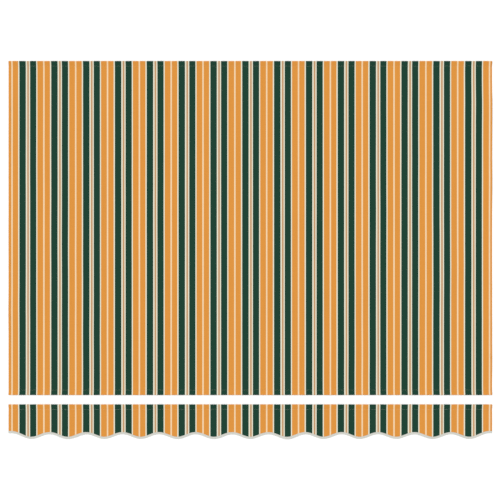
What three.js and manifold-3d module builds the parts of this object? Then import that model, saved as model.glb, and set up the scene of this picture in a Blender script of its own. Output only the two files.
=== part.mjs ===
// A striped awning cover and its scalloped valance, laid out flat with their outer faces up.
// Each cloth is one folded sheet: a pocket hem holds a plastic rod, and the sides are turned under.
// Millimetres, +Z up. X runs across the stripes, +Y points from the front edge to the roller edge.

import * as THREE from "three";
import { mergeVertices } from "three/addons/utils/BufferGeometryUtils.js";
import Module from "manifold-3d";

const wasm = await Module();
wasm.setup();

const QUARTER_TURN = Math.PI / 2;

// Overall sizes
const CLOTH_WIDTH = 3400; // both cloths, across the stripes
const COVER_LENGTH = 2348; // roller edge to front edge
const VALANCE_DROP = 243; // hem edge to the lowest point of a scallop
const LAYOUT_GAP = 66; // floor left between the two cloths

// Cloth, tape and the air between them
const CLOTH_THICKNESS = 0.6;
const TAPE_THICKNESS = 0.6;
const LAYER_GAP = 0.3; // between two layers that lie on each other

// Rod pockets
const ROD_DIAMETER = 6;
const ROD_CLEARANCE = 0.3; // between a rod and the cloth round it
const ROD_CHAMFER = 0.6; // on the cut ends of a rod
const ROD_INSET = 12; // from the side of the cloth to the end of its rod
const POCKET_DEPTH = 35; // hem edge to the seam that closes the pocket
const SEAM_ALLOWANCE = 8; // width of the turned-back flap beyond that seam

// Side hems
const SIDE_HEM = 20; // width of the strip turned under
const CORNER_NOTCH = 4; // left clear between a side hem and the next turned edge

// Scalloped edge of the valance and the tape that binds it
const SCALLOP_PITCH = 256.7;
const SCALLOP_DEPTH = 32.5; // lowest point of a scallop to the crest beside it
const END_RISE = 8; // how much higher the edge is beside the two sides
const END_STRETCH = 14; // how much longer the outer flank of the two end scallops is
const LEAST_STRAIGHT_END = 10; // shortest straight run between the last scallop and a side
const BINDING_WIDTH = 15.5; // outer edge to inner edge of the folded tape

// Facets
const FOLD_FACETS = 8; // on the half turn of cloth round a rod, and of a side hem
const ROD_FACETS = 24;
const SCALLOP_FACETS = 16; // along one scallop
const CUT_MARGIN = 5; // how far a cutting solid reaches past what it cuts

// Levels, radii and counts that follow from those sizes
const FACE_BOTTOM = Math.max(CLOTH_THICKNESS, TAPE_THICKNESS) + LAYER_GAP;
const FACE_TOP = FACE_BOTTOM + CLOTH_THICKNESS;
const LOOP_INNER = ROD_DIAMETER / 2 + ROD_CLEARANCE;
const LOOP_OUTER = LOOP_INNER + CLOTH_THICKNESS;
const FLAP_END = POCKET_DEPTH + SEAM_ALLOWANCE;
const FOLD_OUTER = FACE_TOP / 2;
const FOLD_INNER = FOLD_OUTER - CLOTH_THICKNESS;
const HALF_WIDTH = CLOTH_WIDTH / 2;
const EDGE_LOWEST = VALANCE_DROP - TAPE_THICKNESS - LAYER_GAP;
const SCALLOP_COUNT = Math.floor((CLOTH_WIDTH - 2 * (LEAST_STRAIGHT_END + END_STRETCH)) / SCALLOP_PITCH);
const SCALLOP_RUN = SCALLOP_COUNT * SCALLOP_PITCH;
const BINDING_INNER = TAPE_THICKNESS + LAYER_GAP - BINDING_WIDTH;

const clothMaterial = new THREE.MeshStandardMaterial({ color: 0xe6963e, roughness: 0.9, metalness: 0 });
const tapeMaterial = new THREE.MeshStandardMaterial({ color: 0xd4d5ce, roughness: 0.8, metalness: 0 });
const rodMaterial = new THREE.MeshStandardMaterial({ color: 0xe4e3dc, roughness: 0.45, metalness: 0 });

function toSolid(geometry) {
  const bare = geometry.clone();
  bare.deleteAttribute("normal");
  bare.deleteAttribute("uv");
  const merged = mergeVertices(bare);
  return new wasm.Manifold(
    new wasm.Mesh({
      numProp: 3,
      vertProperties: merged.attributes.position.array,
      triVerts: new Uint32Array(merged.index.array),
    }),
  );
}

function toGeometry(solid) {
  const { vertProperties, triVerts } = solid.getMesh();
  const geometry = new THREE.BufferGeometry();
  geometry.setAttribute("position", new THREE.BufferAttribute(vertProperties, 3));
  geometry.setIndex(new THREE.BufferAttribute(triVerts, 1));
  geometry.computeVertexNormals();
  return geometry;
}

function extrude(points, depth) {
  return new THREE.ExtrudeGeometry(new THREE.Shape(points), { depth, bevelEnabled: false });
}

// An outline in X and Y, extruded up from one level to another
function plate(points, bottom, top) {
  return extrude(points, top - bottom).translate(0, 0, bottom);
}

// Angle at which the face leaves the rod, so that its underside comes down at the seam
function faceSlope() {
  const along = POCKET_DEPTH - LOOP_OUTER;
  const down = FACE_BOTTOM - LOOP_OUTER;
  return Math.asin(LOOP_INNER / Math.hypot(along, down)) - Math.atan2(down, along);
}

// One side of the cloth round a rod, in distance from the hem edge and height:
// along the flap, round the rod, then down to the seam
function pocketSide(radius, faceLevel) {
  const slope = faceSlope();
  const rise = Math.cos(slope) * (faceLevel - LOOP_OUTER);
  const seam = LOOP_OUTER + (radius - rise) / Math.sin(slope);
  const path = new THREE.Path();
  path.moveTo(FLAP_END, LOOP_OUTER - radius);
  path.lineTo(LOOP_OUTER, LOOP_OUTER - radius);
  path.absarc(LOOP_OUTER, LOOP_OUTER, radius, -QUARTER_TURN, -3 * QUARTER_TURN - slope, true);
  path.lineTo(seam, faceLevel);
  return path.getPoints(FOLD_FACETS);
}

// Section of a cloth from its hem edge: a pocket, the face, then a second pocket or a cut edge
function clothSection(length, pocketAtBothEnds) {
  const outer = pocketSide(LOOP_OUTER, FACE_TOP);
  const inner = pocketSide(LOOP_INNER, FACE_BOTTOM);
  const cutEdge = [new THREE.Vector2(length, FACE_TOP), new THREE.Vector2(length, FACE_BOTTOM)];
  const mirrored = (points) => points.map((p) => new THREE.Vector2(length - p.x, p.y));
  const farEnd = pocketAtBothEnds ? [...mirrored(outer).reverse(), ...mirrored(inner)] : cutEdge;
  return [...outer, ...farEnd, ...inner.reverse()];
}

// The strip turned under along one side, from one distance to another from the hem edge
function sideHem(side, from, to) {
  const foldCentre = HALF_WIDTH - FOLD_OUTER;
  const inside = HALF_WIDTH - SIDE_HEM;
  const path = new THREE.Path();
  path.moveTo(inside, 0);
  path.absarc(foldCentre, FOLD_OUTER, FOLD_OUTER, -QUARTER_TURN, QUARTER_TURN, false);
  path.lineTo(inside, FACE_TOP);
  path.lineTo(inside, FACE_BOTTOM);
  path.absarc(foldCentre, FOLD_OUTER, FOLD_INNER, QUARTER_TURN, -QUARTER_TURN, true);
  path.lineTo(inside, FOLD_OUTER - FOLD_INNER);
  const section = path.getPoints(FOLD_FACETS / 2).map((p) => new THREE.Vector2(side * p.x, p.y));
  return extrude(section, to - from).rotateX(QUARTER_TURN).translate(0, to, 0);
}

// A whole cloth, with its hem edge along y = 0 and its face running towards +Y
function foldedCloth(length, pocketAtBothEnds, sideHemEnd) {
  const faceWidth = CLOTH_WIDTH - 2 * FOLD_OUTER;
  const sheet = extrude(clothSection(length, pocketAtBothEnds), faceWidth)
    .rotateX(QUARTER_TURN)
    .rotateZ(QUARTER_TURN)
    .translate(-faceWidth / 2, 0, 0);
  const hems = [-1, 1].map((side) => toSolid(sideHem(side, FLAP_END + CORNER_NOTCH, sideHemEnd)));
  return hems.reduce((cloth, hem) => cloth.add(hem), toSolid(sheet));
}

// The scalloped edge, moved outwards by an offset: equal waves between two short straight ends
function scallopedEdge(offset, halfWidth) {
  const steps = SCALLOP_COUNT * SCALLOP_FACETS;
  const wave = Array.from({ length: steps + 1 }, (_, step) => {
    const lobe = step / SCALLOP_FACETS;
    const betweenEndLows = THREE.MathUtils.clamp(lobe, 0.5, SCALLOP_COUNT - 0.5);
    const pastEndLow = lobe - betweenEndLows;
    const onEndFlank = pastEndLow !== 0;
    const depth = SCALLOP_DEPTH + (onEndFlank ? END_RISE : 0);
    const pitch = SCALLOP_PITCH + (onEndFlank ? 2 * END_STRETCH : 0);
    const turn = 2 * Math.PI * lobe;
    const slope = (depth * Math.PI * Math.sin(turn)) / pitch;
    const point = new THREE.Vector2(
      betweenEndLows * SCALLOP_PITCH - SCALLOP_RUN / 2 + pastEndLow * pitch,
      EDGE_LOWEST - (depth * (1 + Math.cos(turn))) / 2,
    );
    return point.addScaledVector(new THREE.Vector2(-slope, 1).normalize(), offset);
  });
  const endLevel = wave[0].y;
  return [new THREE.Vector2(-halfWidth, endLevel), ...wave, new THREE.Vector2(halfWidth, endLevel)];
}

function coverCloth() {
  const sideHemEnd = COVER_LENGTH - FLAP_END - CORNER_NOTCH;
  return toGeometry(foldedCloth(COVER_LENGTH, true, sideHemEnd));
}

function valanceCloth() {
  const outline = [
    ...scallopedEdge(0, HALF_WIDTH + CUT_MARGIN),
    new THREE.Vector2(HALF_WIDTH + CUT_MARGIN, -CUT_MARGIN),
    new THREE.Vector2(-HALF_WIDTH - CUT_MARGIN, -CUT_MARGIN),
  ];
  const cutter = plate(outline, -CUT_MARGIN, 2 * LOOP_OUTER + CUT_MARGIN);
  const sideHemEnd = scallopedEdge(BINDING_INNER, HALF_WIDTH)[0].y - CORNER_NOTCH;
  return toGeometry(foldedCloth(VALANCE_DROP, false, sideHemEnd).intersect(toSolid(cutter)));
}

// Tape folded over the scalloped edge, with a slot that takes the cloth
function valanceBinding() {
  const slotBottom = FACE_BOTTOM - LAYER_GAP;
  const slotTop = FACE_TOP + LAYER_GAP;
  const band = [
    ...scallopedEdge(TAPE_THICKNESS + LAYER_GAP, HALF_WIDTH),
    ...scallopedEdge(BINDING_INNER, HALF_WIDTH).reverse(),
  ];
  const slot = [
    ...scallopedEdge(LAYER_GAP, HALF_WIDTH + CUT_MARGIN),
    ...scallopedEdge(BINDING_INNER - CUT_MARGIN, HALF_WIDTH + CUT_MARGIN).reverse(),
  ];
  const tape = toSolid(plate(band, slotBottom - TAPE_THICKNESS, slotTop + TAPE_THICKNESS));
  return toGeometry(tape.subtract(toSolid(plate(slot, slotBottom, slotTop))));
}

// A plastic rod along X with its cut ends eased
function rodGeometry() {
  const radius = ROD_DIAMETER / 2;
  const halfLength = HALF_WIDTH - ROD_INSET;
  const profile = [
    new THREE.Vector2(0, -halfLength),
    new THREE.Vector2(radius - ROD_CHAMFER, -halfLength),
    new THREE.Vector2(radius, ROD_CHAMFER - halfLength),
    new THREE.Vector2(radius, halfLength - ROD_CHAMFER),
    new THREE.Vector2(radius - ROD_CHAMFER, halfLength),
    new THREE.Vector2(0, halfLength),
  ];
  return new THREE.LatheGeometry(profile, ROD_FACETS).rotateZ(-QUARTER_TURN);
}

function addPiece(parent, name, geometry, material) {
  const mesh = new THREE.Mesh(geometry, material);
  mesh.name = name;
  parent.add(mesh);
  return mesh;
}

// A rod at its place in a pocket, by the distance of the rod's axis from the hem edge at y = 0
function addRod(parent, name, axis) {
  const rod = addPiece(parent, name, rodGeometry(), rodMaterial);
  rod.position.set(0, axis, LOOP_OUTER);
}

const awning = new THREE.Group();
const layoutLength = COVER_LENGTH + LAYOUT_GAP + VALANCE_DROP;

const cover = new THREE.Group();
cover.position.y = layoutLength / 2 - COVER_LENGTH;
addPiece(cover, "cover_cloth", coverCloth(), clothMaterial);
addRod(cover, "front_rod", LOOP_OUTER);
addRod(cover, "roller_rod", COVER_LENGTH - LOOP_OUTER);
awning.add(cover);

// The valance hangs from its hem, so its face runs from the hem edge towards -Y
const valance = new THREE.Group();
valance.position.y = cover.position.y - LAYOUT_GAP;
valance.rotation.z = 2 * QUARTER_TURN;
addPiece(valance, "valance_cloth", valanceCloth(), clothMaterial);
addPiece(valance, "valance_binding", valanceBinding(), tapeMaterial);
addRod(valance, "valance_rod", LOOP_OUTER);
awning.add(valance);

export default awning;
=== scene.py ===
"""Looks of a striped awning cover and its scalloped valance, laid out flat and seen from above.

Each cloth is one thin folded sheet: a middle surface is laid out first and then given its thickness.
Lengths are in metres. X runs across the stripes, +Y points to the roller edge and Z is up.
"""

import math

import bpy
import numpy as np
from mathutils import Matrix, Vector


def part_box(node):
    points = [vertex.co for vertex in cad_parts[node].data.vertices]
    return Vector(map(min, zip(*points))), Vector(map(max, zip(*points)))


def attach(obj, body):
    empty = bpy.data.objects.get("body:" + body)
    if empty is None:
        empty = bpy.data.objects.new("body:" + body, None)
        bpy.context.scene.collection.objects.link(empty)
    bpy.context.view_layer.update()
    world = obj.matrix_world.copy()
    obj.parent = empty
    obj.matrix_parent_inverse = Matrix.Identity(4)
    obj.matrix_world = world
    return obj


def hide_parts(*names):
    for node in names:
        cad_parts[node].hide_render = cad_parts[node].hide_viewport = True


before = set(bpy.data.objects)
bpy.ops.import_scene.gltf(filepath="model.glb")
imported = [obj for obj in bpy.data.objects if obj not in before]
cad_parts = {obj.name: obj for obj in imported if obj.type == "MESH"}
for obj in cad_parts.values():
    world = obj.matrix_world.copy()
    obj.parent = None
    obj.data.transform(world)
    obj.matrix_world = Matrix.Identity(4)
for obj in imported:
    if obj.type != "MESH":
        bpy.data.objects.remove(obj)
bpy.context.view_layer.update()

# Places and sizes read from the frame
COVER_LOW, COVER_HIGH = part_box("cover_cloth")
VALANCE_LOW, VALANCE_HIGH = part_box("valance_cloth")
ROD_LOW, ROD_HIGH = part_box("front_rod")
HALF_WIDTH = COVER_HIGH.x
COVER_LENGTH = COVER_HIGH.y - COVER_LOW.y
EDGE_LOWEST = VALANCE_HIGH.y - VALANCE_LOW.y  # the valance's hem edge to the lowest point of its cloth
ROD_RADIUS = (ROD_HIGH.z - ROD_LOW.z) / 2

# Cloth, tape and hems
CLOTH = 0.0006  # thickness of one layer
TAPE = 0.0005
LAYER_GAP = 0.0002  # air between two layers that lie on each other
FOLD_STEP = CLOTH + LAYER_GAP  # between the middles of two layers
SIDE_HEM = 0.020  # width of the strip turned under along a side
SIDE_SEAM = 0.015  # side edge to the row of stitches that holds that strip
FACE_END = HALF_WIDTH - CLOTH / 2 - FOLD_STEP / 2  # X at which the face turns under into that strip
CORNER_NOTCH = 0.004  # left clear between a side hem and the tape
DROP_RUN = 0.014  # how far the cloth takes to come down from a hem to the floor
HEM_START = 0.25  # part of that run that is left clear between a pocket's flap and a side hem

# Rod pockets
POCKET_DEPTH = 0.035  # hem edge to the seam that closes the pocket
SEAM_ALLOWANCE = 0.008  # width of the flap beyond that seam
FLAP_END = POCKET_DEPTH + SEAM_ALLOWANCE
LOOP_RADIUS = ROD_HIGH.z - ROD_RADIUS - CLOTH / 2  # middle of the cloth round a rod
LOOP_CENTRE = LOOP_RADIUS + CLOTH / 2  # rod axis, from the hem edge and above the floor
SIDE_HEM_START = FLAP_END + HEM_START * DROP_RUN  # hem edge to the start of a side hem

# Scalloped edge
SCALLOP_PITCH = 0.2567
SCALLOP_DEPTH = 0.0325
END_RISE = 0.008  # how much higher the edge is beside the two sides
END_STRETCH = 0.014  # how much longer the outer flank of the two end scallops is
SCALLOP_COUNT = int(2 * (HALF_WIDTH - END_STRETCH) / SCALLOP_PITCH)
BINDING_WIDTH = 0.0155
BINDING_SEAM = 0.003  # inner edge of the tape to its row of stitches
TAPE_INNER = LAYER_GAP + TAPE - BINDING_WIDTH  # inner edge of the tape from the cloth's edge
TAPE_RADIUS = CLOTH / 2 + LAYER_GAP + TAPE / 2  # middle of the tape round the cloth's edge
TAPE_FOLD = LAYER_GAP + TAPE / 2 - TAPE_RADIUS  # start of that turn from the cloth's edge

# Slack of the laid cloth: heights, and the shortest and longest of the waves
COVER_RIPPLE = 0.0034
COVER_RIPPLE_WAVES = (0.28, 0.95)
COVER_RIPPLE_LEVEL = 0.15  # where the noise is lower than this, the cover lies on the floor
COVER_FLAT_HEM = 0.30  # distance over which a hem still holds the cover flat
SIDE_CURL = 0.0016
SIDE_CURL_WAVES = (0.25, 0.6)
SIDE_CURL_REACH = 0.06
VALANCE_RIPPLE = 0.0018
VALANCE_RIPPLE_WAVES = (0.14, 0.5)
VALANCE_RIPPLE_LEVEL = 0.1
VALANCE_FLAT_HEM = 0.12
EDGE_CURL = 0.0020
EDGE_CURL_WAVES = (0.2, 0.5)
EDGE_CURL_LEVEL = 0.3
EDGE_CURL_REACH = 0.05

# Puckers and grooves along the seams
PUCKER = 0.0008
PUCKER_REACH = 0.012
HEM_PUCKER_WAVES = (0.024, 0.075)
SIDE_PUCKER_WAVES = (0.03, 0.09)
SIDE_SHIFT = 5  # how far apart the two sides are in the noise, so that they differ
TAPE_PUCKER = 0.0003
TAPE_PUCKER_WAVES = (0.016, 0.05)
SEAM_GROOVE = 0.00012  # how far the stitches pull the cloth down
SEAM_GROOVE_REACH = 0.0022

# Sign of X on the left and on the right, with the face's column there
SIDES = ((-1, 0), (1, -1))

# Fineness of the meshes
FLAP_STEPS = 4
LOOP_STEPS = 14
RAMP_STEPS = 7  # from a rod down to the seam
FOLD_STEPS = 6  # round a side hem's fold, and round the tape's
STRIP_STEPS = 4  # across the strip of a side hem
SEAM_ROWS = (0.0015, 0.003, 0.0055)  # rows beside a pocket's seam, from the seam
DROP_ROWS = (HEM_START, 0.5, 0.75, 1.0, 1.5)  # rows past a flap, as parts of the run down to the floor
COVER_COLUMNS = 480
COVER_ROWS = 30
VALANCE_COLUMNS = 680
VALANCE_UPPER_ROWS = 14
VALANCE_LOWER_ROWS = 8
BINDING_COLUMNS = 52  # along one scallop
BINDING_ROWS = 4  # across one leg of the tape, past its seam
EXACT = 1e-6  # two lengths closer than this are the same

# Sewing thread
STITCH_PITCH = 0.0042
STITCH_SHARE = 0.86  # length of a stitch over the pitch
STITCH_ARCH = 0.75  # how high a stitch lies on the cloth, in thread radii
STITCH_DIVE = 2.2  # how far its ends come down from there, in thread radii
STITCH_BLUNTNESS = 4  # how flat it is along its middle
BACK_SINK = 0.7  # how much deeper the thread underneath lies in the cloth, in thread radii
STITCH_RINGS = 5
THREAD_RADIUS = 0.00026
THREAD_SIDES = 6
SEAM_INSET = 0.004  # side of the cloth to the first stitch of a hem or of the tape
LINE_STEP = 0.002  # between two points of a sewn line

# Stripes of one repeat from left to right: colour and width
CREAM = (0.592, 0.574, 0.460)
GREEN = (0.0094, 0.0395, 0.0245)
ORANGE = (0.550, 0.223, 0.0395)
TAN = (0.412, 0.237, 0.117)
PALE = (0.668, 0.490, 0.306)
STRIPES = [
    (GREEN, 0.04498),
    (CREAM, 0.00938),
    (TAN, 0.01230),
    (CREAM, 0.00828),
    (GREEN, 0.04358),
    (CREAM, 0.00826),
    (ORANGE, 0.04012),
    (PALE, 0.01006),
    (ORANGE, 0.03756),
    (CREAM, 0.00933),
]
REPEAT = sum(width for _, width in STRIPES)
STRIPE_START = -0.05717  # left edge of a repeat, from the middle of the cloth

# Finish of the cloth: sizes of its marks across and along the stripes, and what they do to its shade; the
# pits between the yarns get painted shade
WARP_PITCH = 0.00042
WEFT_PITCH = 0.00070
# How much darker the pits between the yarns are painted: painted shade, not the yarn's own colour
PAINTED_PIT_SHADE = 0.06
STREAK_SIZE = (0.004, 0.7)
STREAK_SHADE = (0.93, 1.07)
BAR_SIZE = (0.5, 0.006)
BAR_SHADE = (0.975, 1.025)
FLECK_SIZE = (0.0009, 0.0025)
FLECK_SHADE = (0.93, 1.07)
SLUB_SIZE = (0.0007, 0.012)
CLOTH_PATCH = (0.02, 0.02)
CLOTH_ROUGHNESS = (0.86, 0.98)
CLOTH_BUMP = (0.5, 0.0002)  # strength and depth
CLOTH_SPECULAR = 0.05
CLOTH_SHEEN = 0.04

# Finish of the tape, along and across it
TAPE_WHITE = (0.490, 0.491, 0.448)
TAPE_RIB = 0.0006
TAPE_FLECK_SIZE = (0.006, 0.003)
TAPE_FLECK_SHADE = (0.94, 1.04)
TAPE_BAND_SIZE = (0.12, 0.02)
TAPE_BAND_SHADE = (0.96, 1.04)
TAPE_SLUB_SIZE = (0.0008, 0.004)
TAPE_PATCH = (0.01, 0.01)
TAPE_ROUGHNESS = (0.65, 0.85)
TAPE_BUMP = (0.35, 0.00012)
TAPE_SPECULAR = 0.15
TAPE_SHEEN = 0.06

# Finish of thread, rods and floor
COVER_THREAD = (0.380, 0.370, 0.290)
STRAND_SIZE = 0.0004
STRAND_DETAIL = 1.0
THREAD_PATCH = 0.02
THREAD_SHADE = (0.88, 1.1)
THREAD_ROUGHNESS = (0.5, 0.75)
THREAD_BUMP = (0.4, 0.0001)
THREAD_SPECULAR = 0.2
THREAD_SHEEN = 0.05
ROD_WHITE = (0.620, 0.610, 0.560)
ROD_CLOUD = 0.03
ROD_SHADE = (0.94, 1.05)
ROD_GRAIN = 0.0015
ROD_ROUGHNESS = (0.38, 0.52)
ROD_BUMP = (0.15, 0.0001)
ROD_SPECULAR = 0.4
FLOOR_WHITE = (0.800, 0.800, 0.800)
FLOOR_CLOUD = 0.8
FLOOR_SHADE = (0.995, 1.005)
FLOOR_ROUGHNESS = (0.85, 0.95)
FLOOR_SPECULAR = 0.1
NOISE_DETAIL = 2.0
SHEEN_ROUGHNESS = 0.5

# Stage
FLOOR_SIZE = 240
FLOOR_LEVEL = -0.0004
WORLD_LIGHT = 1.0
WORLD_WHITE = (1.0, 1.0, 1.0, 1.0)
SUN_STRENGTH = 1.4
SUN_ANGLE = math.radians(30)
SUN_TILT = (math.radians(-24), math.radians(-26), 0)

# The photograph's frame, in its pixels, and the camera that repeats it
PHOTO_SIZE = 500
COVER_LEFT_PX = 8.62
COVER_RIGHT_PX = 492.03
COVER_TOP_PX = 61.12
LENS_MM = 85
SENSOR_MM = 36

# Maps of a sheet
CLOTH_MAP = "cloth"  # each point's place on the flat cloth, in metres
BAKE_MAP = "OFBake"  # each face's own place in the unit square
BAKE_MARGIN = 0.004
COVER_BAKE_ROWS = 4  # rows that the outer face is cut into
VALANCE_BAKE_ROWS = 6
BINDING_BAKE_ROWS = 8


def smooth_step(value, start, end):
    """0 before start, 1 after end, and an even curve between."""
    t = np.clip((value - start) / (end - start), 0, 1)
    return t * t * (3 - 2 * t)


def bell(distance, reach):
    """1 at no distance, and close to 0 past twice the reach."""
    return np.exp(-((distance / reach) ** 2))


def run_along(points):
    """Distance of each point from the first, along the line that they make."""
    return np.concatenate([[0], np.cumsum(np.linalg.norm(np.diff(points, axis=0), axis=1))])


def grid(*parts):
    """Coordinates of a grid of points, from rows and columns that are stretched to it."""
    return np.stack(np.broadcast_arrays(*parts), axis=-1)


class Waves:
    """Soft noise of about unit height: a fixed set of plane waves with random directions."""

    COUNT = 28
    SOFTNESS = 0.25

    def __init__(self, lengths, seed):
        rng = np.random.default_rng(seed)
        length = np.exp(rng.uniform(*np.log(lengths), self.COUNT))
        angle = rng.uniform(0, 2 * math.pi, self.COUNT)
        self.phase = rng.uniform(0, 2 * math.pi, self.COUNT)
        self.kx = 2 * math.pi / length * np.cos(angle)
        self.ky = 2 * math.pi / length * np.sin(angle)
        self.height = length / math.sqrt((length**2).sum() / 2)

    def raised(self, x, y=0.0, level=0.0):
        """The part of the noise above a level, and close to 0 elsewhere."""
        x, y = np.broadcast_arrays(x, y)
        above = np.full(x.shape, -level)
        for kx, ky, phase, height in zip(self.kx, self.ky, self.phase, self.height):
            above += height * np.sin(kx * x + ky * y + phase)
        return (above + np.sqrt(above**2 + self.SOFTNESS**2)) / 2


class Sheet:
    """Middle surface of a cloth: points, their places on the flat cloth, and quads between them."""

    def __init__(self):
        self.points = np.zeros((0, 3))
        self.flat = np.zeros((0, 2))
        self.quads = np.zeros((0, 4), int)

    def add_points(self, points, flat):
        """Adds a grid of points and returns their numbers in the same grid."""
        first = len(self.points)
        self.points = np.vstack([self.points, points.reshape(-1, 3)])
        self.flat = np.vstack([self.flat, flat.reshape(-1, 2)])
        return np.arange(first, len(self.points)).reshape(points.shape[:2])

    def add_quads(self, numbers):
        """Joins a grid of point numbers, with its outer side towards rows x columns."""
        corners = numbers[:-1, :-1], numbers[:-1, 1:], numbers[1:, 1:], numbers[1:, :-1]
        self.quads = np.vstack([self.quads, np.stack(corners, axis=-1).reshape(-1, 4)])

    def normals(self):
        """Outward direction at each point."""
        a, b, c, d = (self.points[corner] for corner in self.quads.T)
        across = np.cross(c - a, d - b)
        total = np.zeros_like(self.points)
        for corner in self.quads.T:
            np.add.at(total, corner, across)
        return total / np.linalg.norm(total, axis=1, keepdims=True)

    def rim(self):
        """Edges that belong to one quad only, in that quad's direction."""
        edges = np.stack([self.quads, np.roll(self.quads, -1, axis=1)], axis=-1).reshape(-1, 2)
        count = len(self.points)
        forward = edges[:, 0] * count + edges[:, 1]
        backward = edges[:, 1] * count + edges[:, 0]
        return edges[~np.isin(forward, backward)]

    def to_object(self, name, thickness, material, bake_rows):
        """A closed mesh: the outer skin, the inner skin and the rim between them."""
        offset = self.normals() * thickness / 2
        count = len(self.points)
        rim = self.rim()
        walls = np.stack([rim[:, 1], rim[:, 0], rim[:, 0] + count, rim[:, 1] + count], axis=-1)
        faces = np.vstack([self.quads, self.quads[:, ::-1] + count, walls])
        mesh = new_mesh(name, np.vstack([self.points + offset, self.points - offset]), faces.tolist())
        set_map(mesh, CLOTH_MAP, np.vstack([self.flat, self.flat])[faces])
        set_map(mesh, BAKE_MAP, self.bake_places(rim, bake_rows))
        return add_piece(name, mesh, material)

    def bake_places(self, rim, rows):
        """Places in the unit square: the outer skin cut into rows, then the inner skin in one row."""
        low, high = self.flat.min(axis=0), self.flat.max(axis=0)
        corners = self.flat[self.quads]
        # A row has room past both its ends for a quad that lies across its limit
        widest = np.ptp(corners[..., 0], axis=1).max()
        row_width = (high[0] - low[0]) / rows
        quad_row = np.clip((corners[..., 0].mean(axis=1) - low[0]) // row_width, 0, rows - 1)
        height = 1 / (rows + 1) - 2 * BAKE_MARGIN

        def place(flat, row, start, width):
            u = BAKE_MARGIN + (1 - 2 * BAKE_MARGIN) * (flat[..., 0] - start + widest) / (width + 2 * widest)
            v = row / (rows + 1) + BAKE_MARGIN + height * (flat[..., 1] - low[1]) / (high[1] - low[1])
            return np.stack([u, v], axis=-1)

        outer = place(corners, quad_row[:, None], low[0] + quad_row[:, None] * row_width, row_width)
        inner = place(corners[:, ::-1], rows, low[0], high[0] - low[0])
        ends = place(self.flat[rim], rows, low[0], high[0] - low[0])
        run = ends[:, 1] - ends[:, 0]
        out = np.stack([run[:, 1], -run[:, 0]], axis=-1)
        out *= BAKE_MARGIN / 2 / np.linalg.norm(out, axis=1, keepdims=True)
        walls = np.stack([ends[:, 1] + out, ends[:, 0] + out, ends[:, 0], ends[:, 1]], axis=1)
        return np.vstack([outer, inner, walls])


def new_mesh(name, points, faces):
    """A smooth mesh from an array of points and lists of point numbers."""
    mesh = bpy.data.meshes.new(name)
    mesh.from_pydata(points.tolist(), [], faces)
    mesh.polygons.foreach_set("use_smooth", np.ones(len(faces), bool))
    return mesh


def set_map(mesh, name, places):
    """Gives a mesh a map, with one place for each corner of each face."""
    mesh.uv_layers.new(name=name).uv.foreach_set("vector", places.astype(np.float32).ravel())


def add_piece(name, mesh, material):
    """Puts a mesh of one material into the scene."""
    mesh.materials.append(material)
    piece = bpy.data.objects.new(name, mesh)
    bpy.context.scene.collection.objects.link(piece)
    return piece


# Shape of the laid cloths


def from_front(distance):
    """Y at a distance from the cover's front edge."""
    return COVER_LOW.y + distance


def from_roller(distance):
    """Y at a distance from the cover's roller edge."""
    return COVER_HIGH.y - distance


def from_valance_hem(distance):
    """Y at a distance from the valance's hem edge."""
    return VALANCE_HIGH.y - distance


def pocket_path():
    """Distance from the hem edge and height of the cloth's middle: flap, turn round the rod, then seam."""
    face = CLOTH / 2 + FOLD_STEP
    along, down = POCKET_DEPTH - LOOP_CENTRE, face - LOOP_CENTRE
    slope = math.asin(LOOP_RADIUS / math.hypot(along, down)) - math.atan2(down, along)
    flap = [(s, CLOTH / 2) for s in np.linspace(FLAP_END, LOOP_CENTRE, FLAP_STEPS + 1)[:-1]]
    turn = np.linspace(-math.pi / 2, -1.5 * math.pi - slope, LOOP_STEPS + 1)
    loop = LOOP_CENTRE + LOOP_RADIUS * np.stack([np.cos(turn), np.sin(turn)], axis=-1)
    ramp = np.linspace(loop[-1], (POCKET_DEPTH, face), RAMP_STEPS + 1)[1:]
    return np.vstack([flap, loop, ramp])


def seam_shape(distance, along, waves):
    """Groove and puckers of the cloth at a distance from a seam."""
    pucker = PUCKER * waves.raised(along) * bell(distance, PUCKER_REACH)
    return pucker - SEAM_GROOVE * bell(distance, SEAM_GROOVE_REACH)


def lift_over(distance, width):
    """How far the cloth is raised by a layer under it that is that wide."""
    return FOLD_STEP * (1 - smooth_step(distance, width, width + DROP_RUN))


class CoverShape:
    """Heights of the cover, by X and the distance from its front edge."""

    ripple = Waves(COVER_RIPPLE_WAVES, seed=11)
    curl = Waves(SIDE_CURL_WAVES, seed=12)
    front_pucker = Waves(HEM_PUCKER_WAVES, seed=13)
    roller_pucker = Waves(HEM_PUCKER_WAVES, seed=14)
    side_pucker = Waves(SIDE_PUCKER_WAVES, seed=15)

    def face(self, x, s):
        """Height of the middle of the face between the two pocket seams."""
        to_hem = np.minimum(s, COVER_LENGTH - s)
        to_side = HALF_WIDTH - np.abs(x)
        slack = smooth_step(to_hem, FLAP_END, COVER_FLAT_HEM)
        height = CLOTH / 2 + np.maximum(lift_over(to_hem, FLAP_END), lift_over(to_side, SIDE_HEM))
        height += COVER_RIPPLE * slack * self.ripple.raised(x, s, COVER_RIPPLE_LEVEL)
        height += SIDE_CURL * slack * bell(to_side, SIDE_CURL_REACH) * self.curl.raised(np.sign(x), s)
        height += seam_shape(s - POCKET_DEPTH, x, self.front_pucker)
        height += seam_shape(COVER_LENGTH - POCKET_DEPTH - s, x, self.roller_pucker)
        along_side = s + SIDE_SHIFT * np.sign(x)
        return height + slack * seam_shape(to_side - SIDE_SEAM, along_side, self.side_pucker)


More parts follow.
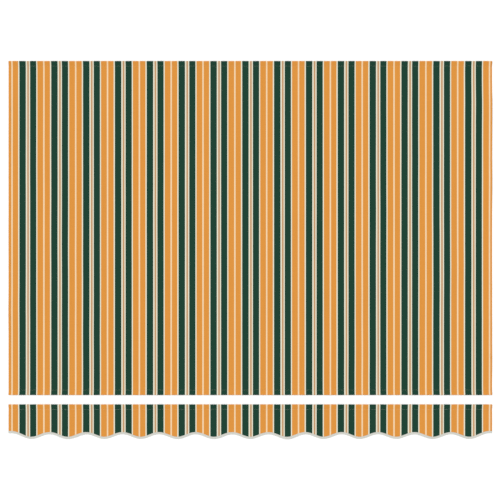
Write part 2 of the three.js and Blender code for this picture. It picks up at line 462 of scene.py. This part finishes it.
class ValanceShape:
    """Heights of the valance, by X and the distance from its hem edge."""

    ripple = Waves(VALANCE_RIPPLE_WAVES, seed=21)
    curl = Waves(EDGE_CURL_WAVES, seed=22)
    hem_pucker = Waves(HEM_PUCKER_WAVES, seed=23)
    side_pucker = Waves(SIDE_PUCKER_WAVES, seed=24)

    def face(self, x, s):
        """Height of the middle of the face between the pocket's seam and the scalloped edge."""
        to_edge = scallop(x)[0] - s
        to_side = HALF_WIDTH - np.abs(x)
        slack = smooth_step(s, FLAP_END, VALANCE_FLAT_HEM)
        lift = np.maximum(lift_over(s, FLAP_END), lift_over(to_side, SIDE_HEM))
        height = CLOTH / 2 + np.maximum(lift, lift_over(to_edge, BINDING_WIDTH))
        height += VALANCE_RIPPLE * slack * self.ripple.raised(x, s, VALANCE_RIPPLE_LEVEL)
        curl = self.curl.raised(x, level=EDGE_CURL_LEVEL)
        height += EDGE_CURL * slack * bell(to_edge, EDGE_CURL_REACH) * curl
        height += seam_shape(s - POCKET_DEPTH, x, self.hem_pucker)
        along_side = s + SIDE_SHIFT * np.sign(x)
        return height + slack * seam_shape(to_side - SIDE_SEAM, along_side, self.side_pucker)


def scallop(x):
    """Distance of the scalloped edge from the valance's hem edge, and its slope, at each X."""
    lobe = np.asarray(x) / SCALLOP_PITCH + SCALLOP_COUNT / 2
    between_end_lows = np.clip(lobe, 0.5, SCALLOP_COUNT - 0.5)
    on_end_flank = lobe != between_end_lows
    depth = SCALLOP_DEPTH + np.where(on_end_flank, END_RISE, 0)
    pitch = SCALLOP_PITCH + np.where(on_end_flank, 2 * END_STRETCH, 0)
    past = np.clip((lobe - between_end_lows) * SCALLOP_PITCH / pitch, -0.5, 0.5)
    turn = 2 * math.pi * (between_end_lows + past)
    return EDGE_LOWEST - depth * (1 + np.cos(turn)) / 2, depth * math.pi * np.sin(turn) / pitch


def edge_points(x, offset):
    """X and distance from the hem edge of points moved outwards from the scalloped edge."""
    edge, slope = scallop(x)
    size = np.sqrt(1 + slope**2)
    return x - offset * slope / size, edge + offset / size


# Cloths and tape


def add_pocket(sheet, x, to_y, waves, mirrored):
    """Rows of a rod pocket, from its flap to its seam."""
    path = pocket_path()
    s, z = path[:, :1], path[:, 1:]
    run = run_along(path)
    on_ramp = smooth_step(np.arange(len(path)), len(path) - RAMP_STEPS - 1, len(path) - RAMP_STEPS + 1)
    raised = z + on_ramp[:, None] * seam_shape(s - POCKET_DEPTH, x[None, :], waves)
    inwards = to_y(1.0) - to_y(0.0)
    flat_y = to_y(POCKET_DEPTH) + (run - run[-1])[:, None] * inwards
    numbers = sheet.add_points(grid(x[None, :], to_y(s), raised), grid(x[None, :], flat_y))
    return numbers[::-1] if mirrored else numbers


def add_face(sheet, x, s, shape, to_y):
    """Rows of a face, at distances s from the hem edge: one for each row, or one for each point."""
    points = grid(x, to_y(s), shape.face(*np.broadcast_arrays(x, s)))
    return sheet.add_points(points, points[..., :2])


def add_side_hem(sheet, edge, side, shape, to_y, s):
    """The strip turned under along one side, joined to the face's edge points."""
    fold = np.linspace(math.pi / 2, -math.pi / 2, FOLD_STEPS + 1)[1:]
    radius = FOLD_STEP / 2
    strip_x = np.linspace(FACE_END, HALF_WIDTH - SIDE_HEM, STRIP_STEPS + 1)[1:]
    x = side * np.concatenate([FACE_END + radius * np.cos(fold), strip_x])
    below = side * np.concatenate([np.full(FOLD_STEPS, FACE_END), strip_x])
    drop = np.concatenate([radius * (np.sin(fold) - 1), np.full(STRIP_STEPS, -FOLD_STEP)])
    run = np.concatenate([radius * (math.pi / 2 - fold), radius * math.pi + FACE_END - strip_x])
    y = to_y(s)[:, None]
    points = grid(x[None, :], y, shape.face(below[None, :], s[:, None]) + drop)
    strip = sheet.add_points(points, grid(side * (FACE_END + run)[None, :], y))
    numbers = np.hstack([edge[:, None], strip])
    return numbers if side > 0 else numbers[:, ::-1]


def rows_past_seam():
    """Distances from the hem edge where the cloth needs rows between a pocket's seam and the floor."""
    drop = [SEAM_ALLOWANCE + part * DROP_RUN for part in DROP_ROWS]
    return POCKET_DEPTH + np.array([*SEAM_ROWS, SEAM_ALLOWANCE, *drop])


def make_cover(material):
    """One sheet with a pocket at both ends and its sides turned under."""
    shape, sheet = CoverShape(), Sheet()
    x = np.linspace(-FACE_END, FACE_END, COVER_COLUMNS)
    near = rows_past_seam()
    middle = np.linspace(near[-1], COVER_LENGTH - near[-1], COVER_ROWS)[1:-1]
    s = np.concatenate([near, middle, COVER_LENGTH - near[::-1]])
    front = add_pocket(sheet, x, from_front, shape.front_pucker, mirrored=False)
    face = add_face(sheet, x[None, :], s[:, None], shape, from_front)
    roller = add_pocket(sheet, x, from_roller, shape.roller_pucker, mirrored=True)
    sheet.add_quads(np.vstack([front, face, roller]))
    hemmed = np.minimum(s, COVER_LENGTH - s) > FLAP_END + EXACT
    for side, column in SIDES:
        sheet.add_quads(add_side_hem(sheet, face[hemmed, column], side, shape, from_front, s[hemmed]))
    return sheet.to_object("cover", CLOTH, material, COVER_BAKE_ROWS)


def valance_side_hem_end():
    """Distance from the hem edge at which the valance's side hems stop."""
    return scallop(HALF_WIDTH)[0] - BINDING_WIDTH - CORNER_NOTCH


def make_valance(material):
    """One sheet with a pocket along its straight edge and a scalloped lower edge."""
    shape, sheet = ValanceShape(), Sheet()
    x = np.linspace(-FACE_END, FACE_END, VALANCE_COLUMNS)[None, :]
    hem_end = valance_side_hem_end()
    near = rows_past_seam()
    upper = np.concatenate([near, np.linspace(near[-1], hem_end, VALANCE_UPPER_ROWS)[1:]])
    share = np.linspace(0, 1, VALANCE_LOWER_ROWS + 1)[1:, None]
    lower = hem_end + share * (scallop(x)[0] - hem_end)
    hem = add_pocket(sheet, x[0], from_valance_hem, shape.hem_pucker, mirrored=False)
    upper_face = add_face(sheet, x, upper[:, None], shape, from_valance_hem)
    lower_face = add_face(sheet, x, lower, shape, from_valance_hem)
    sheet.add_quads(np.vstack([hem, upper_face, lower_face])[:, ::-1])
    hemmed = upper > FLAP_END + EXACT
    for side, column in SIDES:
        edge = upper_face[hemmed, column]
        sheet.add_quads(add_side_hem(sheet, edge, side, shape, from_valance_hem, upper[hemmed])[:, ::-1])
    return sheet.to_object("valance", CLOTH, material, VALANCE_BAKE_ROWS)


def make_binding(material):
    """Tape folded over the scalloped edge: lower leg, fold, upper leg."""
    shape, sheet = ValanceShape(), Sheet()
    pucker = Waves(TAPE_PUCKER_WAVES, seed=31)
    x = np.linspace(-HALF_WIDTH, HALF_WIDTH, SCALLOP_COUNT * BINDING_COLUMNS)
    seam = TAPE_INNER + BINDING_SEAM
    to_fold = np.linspace(seam + BINDING_SEAM, TAPE_FOLD, BINDING_ROWS)[:-1]
    leg = np.array([TAPE_INNER, TAPE_INNER + BINDING_SEAM / 2, seam, *to_fold])
    turn = np.linspace(-math.pi / 2, math.pi / 2, FOLD_STEPS + 1)
    offset = np.concatenate([leg, TAPE_FOLD + TAPE_RADIUS * np.cos(turn), leg[::-1]])
    level = TAPE_RADIUS * np.concatenate([-np.ones(len(leg)), np.sin(turn), np.ones(len(leg))])
    # The upper leg puckers between its seam and its fold, and along its inner edge
    free = np.where(level == TAPE_RADIUS, smooth_step(np.abs(offset - seam), 0, BINDING_SEAM), 0)
    free *= 1 - smooth_step(offset, TAPE_FOLD - 2 * BINDING_SEAM, TAPE_FOLD)
    tape_x, tape_s = edge_points(x[None, :], offset[:, None])
    z = shape.face(np.clip(tape_x, -HALF_WIDTH, HALF_WIDTH), tape_s) + level[:, None]
    z += TAPE_PUCKER * free[:, None] * pucker.raised(x[None, :])
    along = run_along(np.stack([x, scallop(x)[0]], axis=-1))
    across = run_along(np.stack([offset, level], axis=-1))
    points = grid(tape_x, from_valance_hem(tape_s), z)
    sheet.add_quads(sheet.add_points(points, grid(along[None, :], across[:, None])))
    return sheet.to_object("binding", TAPE, material, BINDING_BAKE_ROWS)


# Seams


def make_stitches(name, line, under, material):
    """A row of lockstitches along a line on the outer face, with their backs at the heights under it."""
    run = run_along(line)
    share = np.linspace(0, 1, STITCH_RINGS)
    stitch = np.arange(int(run[-1] / STITCH_PITCH))
    stops = (stitch[:, None] + STITCH_SHARE * share[None, :]) * STITCH_PITCH
    x, y, over, below = (np.interp(stops, run, values) for values in (*line.T, under))
    arch = THREAD_RADIUS * (STITCH_ARCH - STITCH_DIVE * (2 * share - 1) ** STITCH_BLUNTNESS)
    heights = over + arch, below - arch + BACK_SINK * THREAD_RADIUS
    centre = np.vstack([np.stack([x, y, z], axis=-1) for z in heights])
    up = np.array((0, 0, 1))
    side = np.cross(centre[:, -1] - centre[:, 0], up)
    side /= np.linalg.norm(side, axis=1, keepdims=True)
    turn = np.arange(THREAD_SIDES)[:, None] * 2 * math.pi / THREAD_SIDES
    ring = np.cos(turn) * side[:, None, None, :] + np.sin(turn) * up
    points = centre[:, :, None, :] + THREAD_RADIUS * ring
    numbers = np.arange(points[..., 0].size).reshape(points.shape[:3])
    after = np.roll(numbers, -1, axis=2)
    walls = np.stack([numbers[:, :-1], numbers[:, 1:], after[:, 1:], after[:, :-1]], axis=-1)
    caps = np.vstack([numbers[:, 0], numbers[:, -1, ::-1]])
    mesh = new_mesh(name, points.reshape(-1, 3), walls.reshape(-1, 4).tolist() + caps.tolist())
    return add_piece(name, mesh, material)


def fine_steps(start, end):
    """Even steps from start to end that are short enough to follow the puckers."""
    return np.linspace(start, end, int((end - start) / LINE_STEP))


def from_side_to_side():
    """X of the points of a seam across the whole cloth."""
    return fine_steps(SEAM_INSET - HALF_WIDTH, HALF_WIDTH - SEAM_INSET)


def sewn_line(shape, to_y, x, s, above):
    """Points of a seam at a height above the middle of the face."""
    x, s = np.broadcast_arrays(x, s)
    return np.stack([x, to_y(s), shape.face(x, s) + above], axis=-1)


def hem_seam(shape, to_y, s):
    """A seam along a rod pocket, whose flap lies flat on the floor."""
    line = sewn_line(shape, to_y, from_side_to_side(), s, CLOTH / 2)
    return line, np.zeros(len(line))


def side_seam(shape, to_y, side, end):
    """A seam along a side, through the face and the strip turned under."""
    x = side * (HALF_WIDTH - SIDE_SEAM)
    line = sewn_line(shape, to_y, x, fine_steps(SIDE_HEM_START, end), CLOTH / 2)
    return line, line[:, 2] - FOLD_STEP - CLOTH


def tape_seam(shape):
    """The seam along the scalloped edge, through both legs of the tape."""
    x, s = edge_points(from_side_to_side(), TAPE_INNER + BINDING_SEAM)
    outside = TAPE_RADIUS + TAPE / 2
    line = sewn_line(shape, from_valance_hem, x, s, outside)
    return line, line[:, 2] - 2 * outside


def make_cover_stitches(material):
    """The seams of the cover's two pockets and two side hems."""
    shape = CoverShape()
    side_end = COVER_LENGTH - SIDE_HEM_START
    seams = {
        "front_hem_stitches": hem_seam(shape, from_front, POCKET_DEPTH),
        "roller_hem_stitches": hem_seam(shape, from_front, COVER_LENGTH - POCKET_DEPTH),
        "left_side_stitches": side_seam(shape, from_front, -1, side_end),
        "right_side_stitches": side_seam(shape, from_front, 1, side_end),
    }
    return [make_stitches(name, *seam, material) for name, seam in seams.items()]


def make_valance_stitches(material):
    """The seams of the valance's pocket, side hems and tape."""
    shape = ValanceShape()
    side_end = valance_side_hem_end()
    seams = {
        "valance_hem_stitches": hem_seam(shape, from_valance_hem, POCKET_DEPTH),
        "valance_left_stitches": side_seam(shape, from_valance_hem, -1, side_end),
        "valance_right_stitches": side_seam(shape, from_valance_hem, 1, side_end),
        "binding_stitches": tape_seam(shape),
    }
    return [make_stitches(name, *seam, material) for name, seam in seams.items()]


# Materials


class Nodes:
    """Short calls for building a material's nodes."""

    def __init__(self, name):
        self.material = bpy.data.materials.new(name)
        self.material.use_nodes = True
        self.tree = self.material.node_tree
        self.shader = self.tree.nodes["Principled BSDF"]

    def add(self, kind, **settings):
        node = self.tree.nodes.new(kind)
        for key, value in settings.items():
            setattr(node, key, value)
        return node

    def link(self, source, target):
        self.tree.links.new(source, target)

    def feed(self, socket, value):
        if isinstance(value, bpy.types.NodeSocket):
            self.link(value, socket)
        else:
            socket.default_value = value

    def math(self, operation, *values):
        node = self.add("ShaderNodeMath", operation=operation)
        for socket, value in zip(node.inputs, values):
            self.feed(socket, value)
        return node.outputs[0]

    def flat_place(self):
        """X and Y on the flat cloth, in metres."""
        split = self.add("ShaderNodeSeparateXYZ")
        self.link(self.add("ShaderNodeUVMap", uv_map=CLOTH_MAP).outputs[0], split.inputs[0])
        return split.outputs["X"], split.outputs["Y"]

    def noise(self, place, scale, detail=NOISE_DETAIL):
        node = self.add("ShaderNodeTexNoise")
        node.inputs["Scale"].default_value = scale
        node.inputs["Detail"].default_value = detail
        self.link(place, node.inputs["Vector"])
        return node.outputs["Fac"]

    def flat_noise(self, flat_place, size):
        """Soft noise on the flat cloth, with marks of that size along its X and its Y."""
        place = self.add("ShaderNodeCombineXYZ")
        for coordinate, length, socket in zip(flat_place, size, place.inputs):
            self.link(self.math("DIVIDE", coordinate, length), socket)
        return self.noise(place.outputs[0], 1.0)

    def solid_noise(self, size, detail=NOISE_DETAIL):
        """Soft noise in space, with marks of that size."""
        return self.noise(self.add("ShaderNodeTexCoord").outputs["Object"], 1 / size, detail)

    def spread(self, value, limits):
        """A value from 0 to 1 taken to the range between two limits."""
        node = self.add("ShaderNodeMapRange")
        self.link(value, node.inputs["Value"])
        node.inputs["To Min"].default_value = limits[0]
        node.inputs["To Max"].default_value = limits[1]
        return node.outputs["Result"]

    def tint(self, colour, factor):
        """A colour made lighter or darker by a factor near 1."""
        node = self.add("ShaderNodeVectorMath", operation="SCALE")
        self.feed(node.inputs[0], colour)
        self.link(factor, node.inputs["Scale"])
        return node.outputs[0]

    def yarns(self, place, pitch):
        """A wave from -1 to 1 with one period for two yarns."""
        return self.math("SINE", self.math("MULTIPLY", place, math.pi / pitch))

    def bump(self, height, strength_and_depth):
        node = self.add("ShaderNodeBump")
        strength, depth = strength_and_depth
        node.inputs["Strength"].default_value = strength
        node.inputs["Distance"].default_value = depth
        self.link(height, node.inputs["Height"])
        self.link(node.outputs["Normal"], self.shader.inputs["Normal"])

    def surface(self, colour, roughness, specular, sheen=0.0):
        self.link(colour, self.shader.inputs["Base Color"])
        self.link(roughness, self.shader.inputs["Roughness"])
        self.shader.inputs["Specular IOR Level"].default_value = specular
        self.shader.inputs["Sheen Weight"].default_value = sheen
        self.shader.inputs["Sheen Roughness"].default_value = SHEEN_ROUGHNESS
        return self.material


def stripe_colour(nodes, x):
    """Colour by the place in the repeat."""
    ramp = nodes.add("ShaderNodeValToRGB")
    ramp.color_ramp.interpolation = "CONSTANT"
    stops = ramp.color_ramp.elements
    start = 0.0
    for i, (colour, width) in enumerate(STRIPES):
        stop = stops[i] if i < len(stops) else stops.new(start / REPEAT)
        stop.position = start / REPEAT
        stop.color = (*colour, 1.0)
        start += width
    in_repeat = nodes.math("WRAP", nodes.math("SUBTRACT", x, STRIPE_START), REPEAT, 0.0)
    nodes.link(nodes.math("DIVIDE", in_repeat, REPEAT), ramp.inputs["Fac"])
    return ramp.outputs["Color"]


def striped_cloth(name):
    """Woven awning cloth: dyed warp stripes, uneven yarns, a fine rib across them and painted shade in the
    pits of the weave.
    """
    nodes = Nodes(name)
    place = nodes.flat_place()
    x, y = place
    streaks = nodes.spread(nodes.flat_noise(place, STREAK_SIZE), STREAK_SHADE)
    bars = nodes.spread(nodes.flat_noise(place, BAR_SIZE), BAR_SHADE)
    weave = nodes.math("MULTIPLY", nodes.yarns(x, WARP_PITCH), nodes.yarns(y, WEFT_PITCH))
    # Painted shade: the colour is drawn darker where the yarns dip, in the pits of the weave
    painted_pit_shade = nodes.math("MULTIPLY_ADD", weave, PAINTED_PIT_SHADE, 1.0)
    fleck = nodes.spread(nodes.flat_noise(place, FLECK_SIZE), FLECK_SHADE)
    uneven = nodes.math("MULTIPLY", streaks, bars)
    shade = nodes.math("MULTIPLY", uneven, nodes.math("MULTIPLY", painted_pit_shade, fleck))
    colour = nodes.tint(stripe_colour(nodes, x), shade)
    slub = nodes.flat_noise(place, SLUB_SIZE)
    nodes.bump(nodes.math("ADD", weave, slub), CLOTH_BUMP)
    roughness = nodes.spread(nodes.flat_noise(place, CLOTH_PATCH), CLOTH_ROUGHNESS)
    return nodes.surface(colour, roughness, CLOTH_SPECULAR, CLOTH_SHEEN)


def binding_tape(name):
    """Off-white ribbed tape."""
    nodes = Nodes(name)
    place = nodes.flat_place()
    flecks = nodes.spread(nodes.flat_noise(place, TAPE_FLECK_SIZE), TAPE_FLECK_SHADE)
    bands = nodes.spread(nodes.flat_noise(place, TAPE_BAND_SIZE), TAPE_BAND_SHADE)
    colour = nodes.tint(TAPE_WHITE, nodes.math("MULTIPLY", flecks, bands))
    ribs = nodes.math("ADD", nodes.yarns(place[0], TAPE_RIB), nodes.flat_noise(place, TAPE_SLUB_SIZE))
    nodes.bump(ribs, TAPE_BUMP)
    roughness = nodes.spread(nodes.flat_noise(place, TAPE_PATCH), TAPE_ROUGHNESS)
    return nodes.surface(colour, roughness, TAPE_SPECULAR, TAPE_SHEEN)


def sewing_thread(name, colour):
    """Twisted sewing thread."""
    nodes = Nodes(name)
    strands = nodes.solid_noise(STRAND_SIZE, STRAND_DETAIL)
    colour = nodes.tint(colour, nodes.spread(nodes.solid_noise(THREAD_PATCH), THREAD_SHADE))
    nodes.bump(strands, THREAD_BUMP)
    return nodes.surface(colour, nodes.spread(strands, THREAD_ROUGHNESS), THREAD_SPECULAR, THREAD_SHEEN)


def rod_plastic(name):
    """Extruded off-white plastic with a faint grain."""
    nodes = Nodes(name)
    clouds = nodes.solid_noise(ROD_CLOUD)
    colour = nodes.tint(ROD_WHITE, nodes.spread(clouds, ROD_SHADE))
    nodes.bump(nodes.solid_noise(ROD_GRAIN), ROD_BUMP)
    return nodes.surface(colour, nodes.spread(clouds, ROD_ROUGHNESS), ROD_SPECULAR)


def floor_paper(name):
    """Plain white studio floor."""
    nodes = Nodes(name)
    clouds = nodes.solid_noise(FLOOR_CLOUD)
    colour = nodes.tint(FLOOR_WHITE, nodes.spread(clouds, FLOOR_SHADE))
    return nodes.surface(colour, nodes.spread(clouds, FLOOR_ROUGHNESS), FLOOR_SPECULAR)


# Stage


def make_stage():
    """A white floor under even light from all round, with a soft key light from the upper left."""
    scene = bpy.context.scene
    half = FLOOR_SIZE / 2
    corners = np.array([(-half, -half), (half, -half), (half, half), (-half, half)])
    mesh = new_mesh("floor", np.insert(corners, 2, FLOOR_LEVEL, axis=1), [(0, 1, 2, 3)])
    add_piece("floor", mesh, floor_paper("floor_paper"))

    world = bpy.data.worlds.new("studio")
    world.use_nodes = True
    background = world.node_tree.nodes["Background"]
    background.inputs["Strength"].default_value = WORLD_LIGHT
    background.inputs["Color"].default_value = WORLD_WHITE
    scene.world = world

    sun = bpy.data.lights.new("key", "SUN")
    sun.energy = SUN_STRENGTH
    sun.angle = SUN_ANGLE
    key = bpy.data.objects.new("key", sun)
    key.rotation_euler = SUN_TILT
    scene.collection.objects.link(key)
    scene.view_settings.view_transform = "Standard"


def make_camera():
    """Straight down, with the cloth where the photograph has it."""
    metres_per_px = 2 * HALF_WIDTH / (COVER_RIGHT_PX - COVER_LEFT_PX)
    x = (PHOTO_SIZE - COVER_LEFT_PX - COVER_RIGHT_PX) / 2 * metres_per_px
    y = COVER_HIGH.y - (PHOTO_SIZE / 2 - COVER_TOP_PX) * metres_per_px
    data = bpy.data.cameras.new("camera")
    data.lens = LENS_MM
    data.sensor_width = SENSOR_MM
    data.clip_end = FLOOR_SIZE
    camera = bpy.data.objects.new("camera", data)
    camera.location = (x, y, PHOTO_SIZE * metres_per_px * LENS_MM / SENSOR_MM)
    bpy.context.scene.collection.objects.link(camera)
    bpy.context.scene.camera = camera


make_camera()
make_stage()
cloth_material = striped_cloth("striped_cloth")

cover = make_cover(cloth_material)
valance = make_valance(cloth_material)
binding = make_binding(binding_tape("binding_tape"))
cover_stitches = make_cover_stitches(sewing_thread("cover_thread", COVER_THREAD))
valance_stitches = make_valance_stitches(sewing_thread("valance_thread", TAPE_WHITE))

for piece, node, slot in (
    (cover, "cover_cloth", "cover_fabric"),
    (valance, "valance_cloth", "valance_fabric"),
    (binding, "valance_binding", "binding_tape"),
):
    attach(piece, "root")
    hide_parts(node)
for stitches in cover_stitches + valance_stitches:
    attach(stitches, "root")

rod_material = rod_plastic("rod_plastic")
for node in ("front_rod", "roller_rod", "valance_rod"):
    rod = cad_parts[node]
    rod.data.materials.clear()
    rod.data.materials.append(rod_material)
